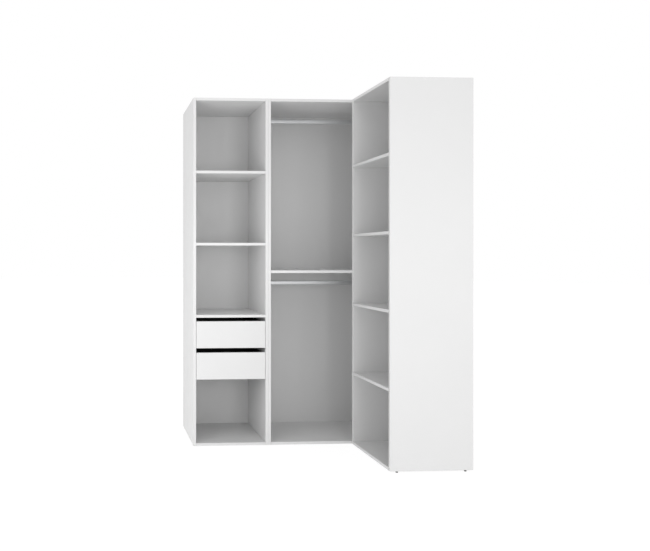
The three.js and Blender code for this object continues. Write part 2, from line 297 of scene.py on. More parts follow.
class StageSettings(PropertyGroup):
    """Camera, lights and floor."""

    camera_place: FloatVectorProperty(
        name="Camera place",
        description="Where the camera stands",
        default=(-1.4204, -4.1235, 1.2699),
        size=3,
        subtype="TRANSLATION",
    )
    camera_turn: number_setting(
        "Camera turn",
        "How far the camera is turned to the right from the wardrobe's depth",
        math.radians(3.0),
        (-math.pi, math.pi),
        "ANGLE",
    )
    camera_tilt: number_setting(
        "Camera tilt",
        "How far the camera looks up from the level",
        math.radians(-0.03),
        (-math.pi / 2, math.pi / 2),
        "ANGLE",
    )
    lens: number_setting(
        "Lens", "Focal length in millimetres on a 36 mm sensor", 35.05, (10, 200), unit="CAMERA"
    )
    shift_across: number_setting(
        "Shift across", "Sideways lens shift as a share of the frame", 0.3, (-1, 1)
    )
    shift_up: number_setting(
        "Shift up", "Upward lens shift as a share of the frame", -0.0312, (-1, 1)
    )
    ambient: number_setting(
        "Ambient light", "Strength of the even white light from all round", 0.8, (0, 10)
    )
    near_power: power_setting(
        "Near left light", "Power of the soft light close to the front left, in watts", 9.3
    )
    left_power: power_setting("Left light", "Power of the soft light on the left, in watts", 4.4)
    front_power: power_setting("Front light", "Power of the soft light in front, in watts", 18.0)
    side_power: power_setting(
        "Side light", "Power of the soft light beyond the left side, in watts", 3.3
    )
    right_power: power_setting(
        "Right light", "Power of the soft light at the front right, in watts", 6.1
    )
    top_power: power_setting("Top light", "Power of the soft light overhead, in watts", 9.9)
    floor_glow: number_setting(
        "Floor glow", "Light that the white floor gives back to the object", 0.29, (0, 2)
    )
    floor_shown: number_setting(
        "Floor shown", "Even brightness of the floor in the picture", 0.92, (0, 2)
    )
    floor_shading: number_setting(
        "Floor shading",
        "Share of the floor's lit shading that the picture shows",
        0.15,
        (0, 1),
        "FACTOR",
    )
    floor_colour: colour_setting("Floor", "Colour of the studio floor", (0.8, 0.8, 0.8))


# Node building


def fill(tree, sockets, inputs):
    """Gives each named socket its value, or links it where the input is a node's output."""
    for name, value in inputs.items():
        if isinstance(value, bpy.types.NodeSocket):
            tree.links.new(value, sockets[name])
        else:
            sockets[name].default_value = value


def put(tree, kind, inputs=None, **options):
    """Adds a shader node, sets its options and fills its inputs."""
    made = tree.nodes.new("ShaderNode" + kind)
    for name, value in options.items():
        setattr(made, name, value)
    fill(tree, made.inputs, inputs or {})
    return made


def mixed(tree, share, first, second):
    """The result of a colour mix."""
    inputs = {MIX_SHARE: share, MIX_FIRST: first, MIX_SECOND: second}
    return put(tree, "Mix", inputs, data_type="RGBA").outputs[MIX_RESULT]


def ranged(tree, value, spread, results=(0.0, 1.0)):
    """A value taken from one range to another, held at the ends."""
    names = ("From Min", "From Max", "To Min", "To Max")
    inputs = dict(zip(names, (*spread, *results)))
    return put(tree, "MapRange", {"Value": value, **inputs}).outputs["Result"]


def object_place(tree):
    """Coordinates that stay with the object."""
    return put(tree, "TexCoord").outputs["Object"]


def stretched_place(tree, stretch):
    """Object coordinates, each multiplied by its share of the stretch."""
    inputs = {0: object_place(tree), 1: stretch}
    return put(tree, "VectorMath", inputs, operation="MULTIPLY").outputs["Vector"]


def noise(tree, place, scale, detail, distortion=0.0):
    """The values of a noise texture."""
    inputs = {"Vector": place, "Scale": scale, "Detail": detail, "Distortion": distortion}
    return put(tree, "TexNoise", inputs).outputs["Fac"]


def bumped(tree, height, strength, depth):
    """The normal of a surface raised by a height."""
    inputs = {"Height": height, "Strength": strength, "Distance": depth}
    return put(tree, "Bump", inputs).outputs["Normal"]


def opaque(colour):
    """A colour with full opacity."""
    return (*colour, 1.0)


def grey(value):
    """An even grey with full opacity."""
    return (value, value, value, 1.0)


# Shared node groups

# Noise values between which a tone or a roughness goes from one end to the other
DRIFT_SPREAD = (0.3, 0.7)
MARK_SPREAD = (0.35, 0.65)


def new_group(name, inputs, label, kind):
    """An empty node group: its tree, what it is given and the socket of its one result."""
    tree = bpy.data.node_groups.new(name, "ShaderNodeTree")
    for title, form, default in inputs:
        socket = tree.interface.new_socket(title, in_out="INPUT", socket_type="NodeSocket" + form)
        socket.default_value = default
    tree.interface.new_socket(label, in_out="OUTPUT", socket_type="NodeSocket" + kind)
    given = tree.nodes.new("NodeGroupInput").outputs
    return tree, given, tree.nodes.new("NodeGroupOutput").inputs[label]


def mottle_group(name):
    """Soft drifts of tone with a finer speckle over them."""
    inputs = (
        ("Colour", "Color", grey(0.8)),
        ("Drift", "Float", 0.02),
        ("Speckle", "Float", 0.01),
        ("Drift Scale", "Float", 2.5),
        ("Speckle Scale", "Float", 900.0),
    )
    tree, given, result = new_group(name, inputs, "Colour", "Color")
    place = object_place(tree)
    tone = given["Colour"]
    for layer, detail in (("Drift", 3.0), ("Speckle", 2.0)):
        texture = noise(tree, place, given[layer + " Scale"], detail)
        shade = ranged(tree, texture, DRIFT_SPREAD)
        weight = put(tree, "Math", {0: shade, 1: given[layer]}, operation="MULTIPLY").outputs[0]
        tone = mixed(tree, weight, tone, grey(0.0))
    tree.links.new(tone, result)
    return tree


def relief_group(name):
    """Fine pitted relief, as on pressed melamine or moulded plastic."""
    inputs = (
        ("Scale", "Float", 900.0),
        ("Strength", "Float", 0.1),
        ("Depth", "Float", 0.0001),
        ("Stretch", "Vector", (1.0, 1.0, 1.0)),
    )
    tree, given, result = new_group(name, inputs, "Normal", "Vector")
    place = stretched_place(tree, given["Stretch"])
    height = noise(tree, place, given["Scale"], detail=2.5)
    tree.links.new(bumped(tree, height, given["Strength"], given["Depth"]), result)
    return tree


def handling_group(name):
    """Roughness that drifts a little where a surface has been wiped and touched."""
    inputs = (
        ("Smooth", "Float", 0.35),
        ("Worn", "Float", 0.45),
        ("Scale", "Float", 9.0),
        ("Stretch", "Vector", (1.0, 1.0, 1.0)),
    )
    tree, given, result = new_group(name, inputs, "Roughness", "Float")
    place = stretched_place(tree, given["Stretch"])
    smear = noise(tree, place, given["Scale"], detail=5.0, distortion=0.6)
    tree.links.new(ranged(tree, smear, MARK_SPREAD, (given["Smooth"], given["Worn"])), result)
    return tree


GROUPS = {
    "board_mottle": mottle_group,
    "fine_relief": relief_group,
    "handling_marks": handling_group,
}


def grouped(tree, name, inputs):
    """Places a shared node group with its own values, and builds it if it isn't there."""
    made = tree.nodes.new("ShaderNodeGroup")
    made.node_tree = bpy.data.node_groups.get(name) or GROUPS[name](name)
    fill(tree, made.inputs, inputs)
    return made.outputs


# Finishes

# Ranges of the flakes' distance and of the fibre noise over which pores and strands show
PORE_SPREAD = (0.35, 0.75)
STRAND_SPREAD = (0.35, 0.7)

# Shares of the hardboard's colour in its dark and its pale strands
STRAND_SHARES = (0.72, 1.25)

# Place of the middling flakes' colour between the darkest and the palest
MIDDLE_FLAKE_SHARE = 0.45


def surface(tree, shader, colour, mottle, relief, marks):
    """Gives a shader mottled tone, fine relief and handling marks, each with its own values."""
    tone = grouped(tree, "board_mottle", {"Colour": opaque(colour), **mottle})
    pits = grouped(tree, "fine_relief", relief)
    wear = grouped(tree, "handling_marks", marks)
    sources = {
        "Base Color": tone["Colour"],
        "Roughness": wear["Roughness"],
        "Normal": pits["Normal"],
    }
    fill(tree, shader, sources)


def pressed_board(tree, shader, colour, smooth, worn, drift):
    """Melamine: faint mottle, a pitted satin surface and wiping marks."""
    mottle = {"Drift": drift, "Speckle": 0.012}
    relief = {"Scale": 1400.0, "Strength": 0.12, "Depth": 0.00006}
    surface(tree, shader, colour, mottle, relief, {"Smooth": smooth, "Worn": worn})


def white_board(tree, shader, look):
    """Faces of the white boards."""
    pressed_board(tree, shader, look.white, smooth=0.36, worn=0.46, drift=0.012)


def white_edging(tree, shader, look):
    """Banded edges, a little smoother than the faces and more uneven in tone."""
    pressed_board(tree, shader, look.edging, smooth=0.28, worn=0.4, drift=0.03)


def white_backing(tree, shader, look):
    """Printed inner side of the thin backs."""
    pressed_board(tree, shader, look.backing, smooth=0.44, worn=0.54, drift=0.015)


def black_board(tree, shader, look):
    """Black melamine of the drawer boxes, with a fine grain along the board."""
    mottle = {"Drift": 0.2, "Speckle": 0.25}
    relief = {"Scale": 260.0, "Strength": 0.25, "Depth": 0.0001, "Stretch": (1.0, 0.12, 4.0)}
    surface(tree, shader, look.black, mottle, relief, {"Smooth": 0.42, "Worn": 0.55})
    fill(tree, shader, {"Specular IOR Level": 0.3})


def raw_chipboard(tree, shader, look):
    """Unbanded chipboard: pale and dark flakes with pores between them."""
    inputs = {"Vector": object_place(tree), "Scale": 420.0, "Randomness": 1.0}
    flakes = put(tree, "TexVoronoi", inputs).outputs
    shade = put(tree, "SeparateColor", {"Color": flakes["Color"]}).outputs["Red"]
    ramp = put(tree, "ValToRGB", {"Fac": shade})
    stops = ramp.color_ramp.elements
    stops[0].color = opaque(look.dark_flakes)
    stops[1].color = opaque(look.pale_flakes)
    stops.new(MIDDLE_FLAKE_SHARE).color = opaque(look.flakes)
    pores = ranged(tree, flakes["Distance"], PORE_SPREAD)
    tone = mixed(tree, pores, ramp.outputs["Color"], opaque(look.pores))
    height = put(tree, "Math", {0: 1.0, 1: pores}, operation="SUBTRACT").outputs[0]
    normal = bumped(tree, height, strength=0.6, depth=0.0003)
    fill(tree, shader, {"Base Color": tone, "Normal": normal, "Roughness": 0.85})


def bare_hardboard(tree, shader, look):
    """Bare side of the thin backs: brown pressed fibre."""
    fibres = noise(tree, object_place(tree), scale=240.0, detail=6.0, distortion=1.5)
    dark, pale = (opaque(Vector(look.hardboard) * share) for share in STRAND_SHARES)
    strands = mixed(tree, ranged(tree, fibres, STRAND_SPREAD), dark, pale)
    mottle = {"Colour": strands, "Drift": 0.16, "Speckle": 0.1, "Drift Scale": 5.0}
    tone = grouped(tree, "board_mottle", mottle)["Colour"]
    normal = bumped(tree, fibres, strength=0.35, depth=0.0002)
    fill(tree, shader, {"Base Color": tone, "Normal": normal, "Roughness": 0.72})


def brushed_metal(tree, shader, colour, stretch, smooth, worn, metallic):
    """Metal with fine drawing lines along one axis."""
    mottle = {"Drift": 0.06, "Speckle": 0.05}
    relief = {"Scale": 1600.0, "Strength": 0.08, "Depth": 0.00004, "Stretch": stretch}
    marks = {"Smooth": smooth, "Worn": worn, "Scale": 120.0, "Stretch": stretch}
    surface(tree, shader, colour, mottle, relief, marks)
    fill(tree, shader, {"Metallic": metallic})


def satin_tube(tree, shader, look):
    """Drawn tube of the hanging rails, satin under a clear lacquer."""
    lines = (0.03, 1.0, 1.0)
    brushed_metal(tree, shader, look.tube, lines, smooth=0.4, worn=0.48, metallic=0.65)


def zinc_steel(tree, shader, look):
    """Pressed and zinc-plated steel."""
    lines = (1.0, 0.04, 1.0)
    brushed_metal(tree, shader, look.steel, lines, smooth=0.3, worn=0.42, metallic=1.0)


def dark_plastic(tree, shader, look):
    """Moulded plastic with a fine leather grain."""
    mottle = {"Drift": 0.1, "Speckle": 0.15}
    relief = {"Scale": 2200.0, "Strength": 0.25, "Depth": 0.00008}
    marks = {"Smooth": 0.4, "Worn": 0.55, "Scale": 60.0}
    surface(tree, shader, look.plastic, mottle, relief, marks)


FINISHES = {
    "white_melamine_face": white_board,
    "white_edge_band": white_edging,
    "white_back_lacquer": white_backing,
    "black_melamine": black_board,
    "raw_chipboard": raw_chipboard,
    "bare_hardboard": bare_hardboard,
    "rail_satin": satin_tube,
    "plated_steel": zinc_steel,
    "moulded_plastic": dark_plastic,
}


def new_finish(name):
    """A material with its node tree and the inputs of its Principled shader."""
    material = bpy.data.materials.new(name)
    material.use_nodes = True
    tree = material.node_tree
    shader = next(node for node in tree.nodes if node.type == "BSDF_PRINCIPLED")
    return material, tree, shader.inputs


def finish(name):
    """The named material, built the first time it is asked for."""
    material = bpy.data.materials.get(name)
    if not material:
        material, tree, shader = new_finish(name)
        FINISHES[name](tree, shader, bpy.context.scene.wardrobe_finish)
    return material


# Shapes


def merged_copy(node):
    """The CAD node's shape, with its loose triangles joined into flat faces."""
    shape = bmesh.new()
    shape.from_mesh(NODES[node].data)
    bmesh.ops.remove_doubles(shape, verts=shape.verts, dist=MERGE_DISTANCE)
    bmesh.ops.dissolve_limit(
        shape, angle_limit=FLAT_ANGLE, verts=shape.verts, edges=shape.edges
    )
    return shape


def mesh_of(name, shape):
    """A mesh made of a finished shape."""
    mesh = bpy.data.meshes.new(name)
    shape.to_mesh(mesh)
    shape.free()
    return mesh


def moved(shape, matrix):
    """A whole shape taken to its place."""
    bmesh.ops.transform(shape, matrix=matrix, verts=shape.verts)
    return shape


def facing(place, axis, side):
    """The matrix that takes a part made upwards along z to a place, facing along an axis."""
    direction = Vector((0.0, 0.0, 0.0))
    direction[axis] = 1.0 if side else -1.0
    turn = Vector((0.0, 0.0, 1.0)).rotation_difference(direction).to_matrix().to_4x4()
    return Matrix.Translation(place) @ turn


def is_sharp(edge):
    """Whether two faces meet at an edge in about a right angle."""
    return edge.calc_face_angle(0.0) > CORNER_ANGLE


def round_edges(shape, edges, radius, steps=RIM_STEPS):
    """Rounds some edges of a shape and returns the set of rounded faces."""
    made = bmesh.ops.bevel(
        shape,
        geom=edges,
        offset=radius,
        segments=steps,
        profile=0.5,
        affect="EDGES",
        material=-1,
        clamp_overlap=True,
    )
    return set(made["faces"])


def crease(shape):
    """Shades a shape smooth, apart from its edges."""
    for face in shape.faces:
        face.smooth = True
    for edge in shape.edges:
        edge.smooth = edge.calc_face_angle(0.0) < CREASE_ANGLE


def soften_rims(shape, radius):
    """Rounds the sharp rims of a turned or bent shape."""
    round_edges(shape, [edge for edge in shape.edges if is_sharp(edge)], radius)
    crease(shape)


def turned(profile, steps):
    """A closed solid turned from (radius, height) points about the z axis."""
    shape = bmesh.new()
    verts = [shape.verts.new((radius, 0.0, height)) for radius, height in profile]
    edges = [shape.edges.new(pair) for pair in zip(verts, verts[1:])]
    bmesh.ops.spin(
        shape,
        geom=verts + edges,
        cent=(0.0, 0.0, 0.0),
        axis=(0.0, 0.0, 1.0),
        angle=FULL_TURN,
        steps=steps,
        use_merge=True,
    )
    bmesh.ops.remove_doubles(shape, verts=shape.verts, dist=MERGE_DISTANCE)
    bmesh.ops.recalc_face_normals(shape, faces=shape.faces)
    crease(shape)
    return shape


def with_copies(shape, part, places):
    """A shape with a copy of a small part added at each place."""
    for place in places:
        mesh = mesh_of("small_part", moved(part.copy(), place))
        shape.from_mesh(mesh)
        bpy.data.meshes.remove(mesh)
    part.free()
    return shape


def outer_planes(shape):
    """The lowest and highest side along each axis, leaving out dowel ends."""
    places = ([], [], [])
    for face in shape.faces:
        if face.calc_area() > SMALL_SIDE_AREA:
            for axis in AXES:
                if abs(face.normal[axis]) > FACING_SHARE:
                    places[axis].append(face.calc_center_median()[axis])
    return [(min(found), max(found)) for found in places]


def lies_on(edge, axis, planes):
    """Whether an edge lies in one of a board's two outer sides along an axis."""
    return any(
        all(abs(vert.co[axis] - place) < NEAR for vert in edge.verts) for place in planes[axis]
    )


def rim_edges(shape, planes, square_axes):
    """The edges where two outer sides meet, apart from those at the square-cut ends."""
    found = []
    for edge in shape.edges:
        axes = {axis for axis in AXES if lies_on(edge, axis, planes)}
        if len(axes) == 2 and is_sharp(edge) and not axes & set(square_axes):
            found.append(edge)
    return found


def paint_sides(shape, planes, rounding, looks):
    """Gives each face the finish of its side, of the rounding or of milled board."""
    for face in shape.faces:
        if face in rounding:
            face.material_index = looks["rounding"]
            face.smooth = True
            continue
        axis = max(AXES, key=lambda number: abs(face.normal[number]))
        side = face.normal[axis] > 0
        place = face.calc_center_median()[axis]
        if abs(face.normal[axis]) > FACING_SHARE and abs(place - planes[axis][side]) < NEAR:
            face.material_index = looks.get((axis, side), looks["face"])
        else:
            face.material_index = looks["milled"]


# Pieces


def add_piece(name, shape, kind, node):
    """Makes a piece of a finished shape, finishes it and lets it move with a CAD node."""
    slot, finishes = kind
    piece = bpy.data.objects.new(name, mesh_of(name, shape))
    for label in finishes:
        piece.data.materials.append(finish(label))
    bpy.context.scene.collection.objects.link(piece)
    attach(piece, NODES[node]["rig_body"])
    return piece


def replace_node(node, word, shape, kind):
    """Makes a piece that stands for a CAD node."""
    piece = add_piece(f"{node}_{word}", shape, kind, node)
    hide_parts(node)


def add_board(node, word, kind, looks, radius, steps, square_axes=()):
    """Rounds and paints a copy of a CAD board, and lets it stand for the board."""
    shape = merged_copy(node)
    planes = outer_planes(shape)
    rounding = round_edges(shape, rim_edges(shape, planes, square_axes), radius, steps)
    paint_sides(shape, planes, rounding, looks)
    replace_node(node, word, shape, kind)


# Small parts

# A screw head's cross recess, cut into a grid of cells over the head's flat top
CROSS_CELLS = 5
CROSS_TOP_SHARE = 0.78
CROSS_ARM_SHARE = 0.62
CROSS_DEPTH_SHARE = 0.7
CROSS_TAPER_SHARE = 0.75

# How far the middle of an arm's cell may lie from an axis and from the centre, in cells
ARM_OFFSET_SHARE = 0.25
ARM_REACH_SHARE = 1.3

# Two steps down a screw head's side: how much it widens, and its share of the height
HEAD_SIDE_SHARES = ((1 / CROSS_TOP_SHARE, 0.4), (1.0, 0.6))

# Points over a pin head, as shares of its radius and height
PIN_PROFILE_SHARES = ((0.0, 0.0), (1.0, 0.0), (0.82, 0.65), (0.0, 1.0))
PIN_STEPS = 10


def only(kind, items):
    """Those of some mesh items that are of one kind."""
    return [item for item in items if isinstance(item, kind)]


def cross_arms(shape, cell):
    """The faces of a screw head's grid that form its cross."""
    arms = []
    for face in shape.faces:
        centre = face.calc_center_median()
        offset = min(abs(centre.x), abs(centre.y))
        if offset < cell * ARM_OFFSET_SHARE and centre.length < cell * ARM_REACH_SHARE:
            arms.append(face)
    return arms


def screw_head(radius, height):
    """A low screw head with a cross recess, standing on z = 0."""
    shape = bmesh.new()
    top = radius * CROSS_TOP_SHARE
    cell = top * 2 / CROSS_CELLS
    bmesh.ops.create_grid(shape, x_segments=CROSS_CELLS, y_segments=CROSS_CELLS, size=top)
    for vert in shape.verts:
        if max(abs(vert.co.x), abs(vert.co.y)) > top - cell / 2:
            vert.co *= top / vert.co.length
        else:
            for axis in (ACROSS, DEEP):
                if abs(vert.co[axis]) < cell:
                    vert.co[axis] *= CROSS_ARM_SHARE
    arms = cross_arms(shape, cell)
    rim = [edge for edge in shape.edges if edge.is_boundary]
    lowered = bmesh.ops.extrude_face_region(shape, geom=arms)["geom"]
    bottom = only(bmesh.types.BMVert, lowered)
    bmesh.ops.delete(shape, geom=arms, context="FACES")
    bmesh.ops.translate(shape, vec=(0.0, 0.0, -height * CROSS_DEPTH_SHARE), verts=bottom)
    bmesh.ops.scale(shape, vec=(CROSS_TAPER_SHARE, CROSS_TAPER_SHARE, 1.0), verts=bottom)
    for widening, drop in HEAD_SIDE_SHARES:
        made = bmesh.ops.extrude_edge_only(shape, edges=rim)["geom"]
        verts = only(bmesh.types.BMVert, made)
        rim = only(bmesh.types.BMEdge, made)
        bmesh.ops.translate(shape, vec=(0.0, 0.0, -height * drop), verts=verts)
        bmesh.ops.scale(shape, vec=(widening, widening, 1.0), verts=verts)
    bmesh.ops.contextual_create(shape, geom=rim)
    moved(shape, Matrix.Translation((0.0, 0.0, height)))
    bmesh.ops.recalc_face_normals(shape, faces=shape.faces)
    return shape


def pin_head(radius, height):
    """A low domed pin head, standing on z = 0."""
    profile = [(radius * wide, height * high) for wide, high in PIN_PROFILE_SHARES]
    return turned(profile, PIN_STEPS)


# Operators for the boards


class WARDROBE_OT_uprights(Operator):
    """Stands the side boards of the three modules"""

    bl_idname = "wardrobe.uprights"
    bl_label = "Side boards"

    def execute(self, context):
        sizes = context.scene.wardrobe_boards
        rim = (sizes.edge_radius, sizes.edge_steps)
        for module, front, _ in MODULES:
            ends = {(front, LOW): BAND, (front, HIGH): RAW, (UP, HIGH): BAND, (UP, LOW): RAW}
            looks = {**BANDED_LOOKS, **ends}
            for side in SIDES:
                add_board(f"{module}_{side}_side", "board", WHITE_BOARD, looks, *rim)
        return {"FINISHED"}


def level_nodes(module):
    """Names of a module's top, bottom and shelves."""
    starts = tuple(f"{module}_{word}" for word in ("top", "bottom", "shelf"))
    return sorted(name for name in NODES if name.startswith(starts))


class WARDROBE_OT_levels(Operator):
    """Lays the top, bottom and shelf boards of the three modules"""

    bl_idname = "wardrobe.levels"
    bl_label = "Tops, bottoms and shelves"

    def execute(self, context):
        sizes = context.scene.wardrobe_boards
        rim = (sizes.edge_radius, sizes.edge_steps)
        for module, front, span in MODULES:
            ends = {(front, LOW): BAND, (front, HIGH): RAW, (span, LOW): RAW, (span, HIGH): RAW}
            looks = {**BANDED_LOOKS, **ends}
            for node in level_nodes(module):
                add_board(node, "board", WHITE_BOARD, looks, *rim, square_axes=(span,))
        return {"FINISHED"}


class WARDROBE_OT_backs(Operator):
    """Slides the thin backs into their grooves and pins them to the shelves"""

    bl_idname = "wardrobe.backs"
    bl_label = "Backs and pins"

    def execute(self, context):
        sizes = context.scene.wardrobe_boards
        for module, front, span in MODULES:
            node = f"{module}_back"
            looks = {**BACK_LOOKS, (front, LOW): LACQUER}
            add_board(node, "sheet", THIN_BACK, looks, sizes.thin_radius, steps=1)
            head = pin_head(sizes.pin_diameter / 2, sizes.pin_proud)
            spots = pin_places(module, front, span, sizes)
            places = [facing(spot, front, HIGH) for spot in spots]
            pins = with_copies(bmesh.new(), head, places)
            add_piece(f"{node}_pins", pins, STEEL_PART, node)
        return {"FINISHED"}


def pin_places(module, front, span, sizes):
    """Points on the rear of a back, in rows behind its shelves."""
    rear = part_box(f"{module}_back")[1][front]
    places = []
    for node in level_nodes(module):
        if "shelf" in node:
            low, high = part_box(node)
            start = low[span] + sizes.pin_inset
            reach = high[span] - low[span] - 2 * sizes.pin_inset
            count = math.ceil(reach / sizes.pin_pitch)
            for step in range(count + 1):
                place = (low + high) / 2
                place[front] = rear
                place[span] = start + reach * step / count
                places.append(place)
    return places


# The walls of a drawer box, and the axes along which their ends are cut square
BOX_WALLS = (("left_wall", (DEEP,)), ("right_wall", (DEEP,)), ("rear_wall", (ACROSS,)))


class WARDROBE_OT_drawers(Operator):
    """Builds the two white fronts and the black boxes behind them"""

    bl_idname = "wardrobe.drawers"
    bl_label = "Drawers"

    def execute(self, context):
        sizes = context.scene.wardrobe_boards
        rim = (sizes.edge_radius, sizes.edge_steps)
        thin_rim = (sizes.thin_radius, sizes.edge_steps)
        for level in LEVELS:
            start = f"{level}_drawer"
            add_board(f"{start}_front", "board", WHITE_BOARD, FRONT_LOOKS, *rim)
            for part, square_axes in BOX_WALLS:
                node = f"{start}_{part}"
                add_board(node, "board", BLACK_BOARD, BLACK_LOOKS, *rim, square_axes)
            add_board(f"{start}_base", "board", BLACK_BOARD, BLACK_LOOKS, *thin_rim)
        return {"FINISHED"}


# Operators for the fittings

# Places along a runner's drawer member, as shares of its length from the front
SCREW_SHARES = (0.08, 0.42, 0.86)
LEVER_SHARE = 0.27

# The lever's grid, how much narrower its ends are and how many thicknesses its tab bends up
LEVER_CELLS = (2, 10)
LEVER_NARROWING_SHARE = 0.35
LEVER_BEND_SHARE = 1.4


class WARDROBE_OT_runners(Operator):
    """Fits the telescopic runners with their screws and release levers"""

    bl_idname = "wardrobe.runners"
    bl_label = "Runners"

    def execute(self, context):
        sizes = context.scene.wardrobe_hardware
        for level in LEVELS:
            for side in SIDES:
                for member in ("cabinet", "middle", "drawer"):
                    add_channel(sizes, f"{level}_{side}_{member}_member")
                add_runner_fittings(sizes, f"{level}_{side}_drawer_member", side == "right")
        return {"FINISHED"}


def add_channel(sizes, node):
    """Rounds the long edges of a runner member."""
    shape = merged_copy(node)
    edges = [edge for edge in shape.edges if edge.calc_length() > LONG_EDGE and is_sharp(edge)]
    round_edges(shape, edges, sizes.metal_radius)
    replace_node(node, "channel", shape, STEEL_PART)


def add_runner_fittings(sizes, node, is_right):
    """Screws a runner's drawer member to its drawer wall and lays the release lever in it."""
    low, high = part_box(node)
    web = low.x + sizes.runner_steel if is_right else high.x - sizes.runner_steel
    middle = (low.z + high.z) / 2

    def spot(share):
        """The matrix of a part standing on the web, that share of the way back."""
        place = (web, low.y + share * (high.y - low.y), middle)
        return facing(place, ACROSS, is_right)

    head = screw_head(sizes.screw_radius, sizes.screw_height)
    heads = with_copies(bmesh.new(), head, [spot(share) for share in SCREW_SHARES])
    add_piece(f"{node}_screws", heads, STEEL_PART, node)
    lever = moved(release_lever(sizes), spot(LEVER_SHARE))
    add_piece(f"{node}_lever", lever, PLASTIC_PART, node)


def release_lever(sizes):
    """A thin curved lever along y with a thumb tab at its end, standing on z = 0."""
    shape = bmesh.new()
    across, along = LEVER_CELLS
    bmesh.ops.create_grid(shape, x_segments=across, y_segments=along, size=1.0)
    for vert in shape.verts:
        share = vert.co.y
        narrowing = 1.0 - LEVER_NARROWING_SHARE * share**2
        vert.co.x *= sizes.lever_width / 2 * narrowing
        vert.co.y *= sizes.lever_length / 2
        vert.co.z = sizes.lever_thickness * LEVER_BEND_SHARE * max(0.0, -share) ** 2
    bmesh.ops.solidify(shape, geom=list(shape.faces), thickness=-sizes.lever_thickness)
    bmesh.ops.recalc_face_normals(shape, faces=shape.faces)
    soften_rims(shape, sizes.metal_radius)
    lowest = min(vert.co.z for vert in shape.verts)
    return moved(shape, Matrix.Translation((0.0, 0.0, -lowest)))


# Room between a rail's tube and the cup that holds it
TUBE_PLAY = 0.0003


class WARDROBE_OT_rails(Operator):
    """Hangs the two rails in their screwed sockets"""

    bl_idname = "wardrobe.rails"
    bl_label = "Hanging rails"

    def execute(self, context):
        sizes = context.scene.wardrobe_hardware
        for level in LEVELS:
            node = f"corner_{level}_rail"
            low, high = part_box(node)
            centre = (low + high) / 2
            tube = rail_tube(sizes, high.x - low.x - 2 * sizes.flange_thickness)
            replace_node(node, "tube", moved(tube, facing(centre, ACROSS, HIGH)), TUBE_PART)
            for side, end, way in (("left", low.x, HIGH), ("right", high.x, LOW)):
                socket = rail_socket(sizes, (high.y - low.y) / 2)
                moved(socket, facing((end, centre.y, centre.z), ACROSS, way))
                add_piece(f"{node}_{side}_socket", socket, TUBE_PART, node)
        return {"FINISHED"}


def make_oval(shape, sizes):
    """Stretches a turned shape along x by as much as the tube is higher than wide."""
    moved(shape, Matrix.Rotation(FULL_TURN / sizes.turn_steps / 2, 4, "Z"))
    rise = (sizes.tube_height - sizes.tube_width) / 2
    for vert in shape.verts:
        if abs(vert.co.x) > MERGE_DISTANCE:
            vert.co.x += math.copysign(rise, vert.co.x)
    return rise


def rail_tube(sizes, length):
    """An open oval tube centred on the origin, along z."""
    outer = sizes.tube_width / 2
    inner = outer - sizes.tube_wall
    half = length / 2
    profile = ((inner, -half), (outer, -half), (outer, half), (inner, half), (inner, -half))
    shape = turned(profile, sizes.turn_steps)
    make_oval(shape, sizes)
    return shape


def rail_socket(sizes, flange_radius):
    """An oval flange with a cup, standing on z = 0, with a screw above and below the cup."""
    flange = sizes.flange_thickness
    bore = sizes.tube_width / 2 + TUBE_PLAY
    cup = sizes.tube_width / 2 + sizes.cup_wall
    profile = (
        (0.0, 0.0),
        (flange_radius, 0.0),
        (flange_radius, flange),
        (cup, flange),
        (cup, sizes.cup_length),
        (bore, sizes.cup_length),
        (bore, flange),
        (0.0, flange),
    )
    shape = turned(profile, sizes.turn_steps)
    reach = make_oval(shape, sizes) + (flange_radius + cup) / 2
    soften_rims(shape, sizes.metal_radius)
    places = [Matrix.Translation((x, 0.0, flange)) for x in (-reach, reach)]
    return with_copies(shape, screw_head(sizes.screw_radius, sizes.screw_height), places)


# Points up a foot's side: how far in from its widest, and how high
FOOT_HEIGHT = 0.008
FOOT_PROFILE = (
    (0.0012, 0.0),
    (0.0003, 0.0004),
    (0.0, 0.0014),
    (0.0004, 0.0066),
    (0.0012, FOOT_HEIGHT),
)
FOOT_STEPS = 24
STEM_RADIUS = 0.003
STEM_CHAMFER = 0.001


class WARDROBE_OT_feet(Operator):
    """Presses the twelve feet into the side boards"""

    bl_idname = "wardrobe.feet"
    bl_label = "Feet"

    def execute(self, context):
        for node in sorted(name for name in NODES if "_glide_" in name):
            low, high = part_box(node)
            foot = turned(foot_profile((high.x - low.x) / 2, high.z - low.z), FOOT_STEPS)
            centre = (low + high) / 2
            place = Matrix.Translation((centre.x, centre.y, low.z))
            replace_node(node, "foot", moved(foot, place), PLASTIC_PART)
        return {"FINISHED"}


def foot_profile(radius, height):
    """The (radius, height) points of a foot and its stem."""
    pad = [(radius - inset, rise) for inset, rise in FOOT_PROFILE]
    stem = [
        (STEM_RADIUS, FOOT_HEIGHT),
        (STEM_RADIUS, height - STEM_CHAMFER),
        (STEM_RADIUS - STEM_CHAMFER, height),
    ]
    return [(0.0, 0.0), *pad, *stem, (0.0, height)]


# Stage

SENSOR_WIDTH = 36.0
FLOOR_RADIUS = 30.0
FLOOR_STEPS = 96
MIDDLE = (0.0, 0.0, 1.15)

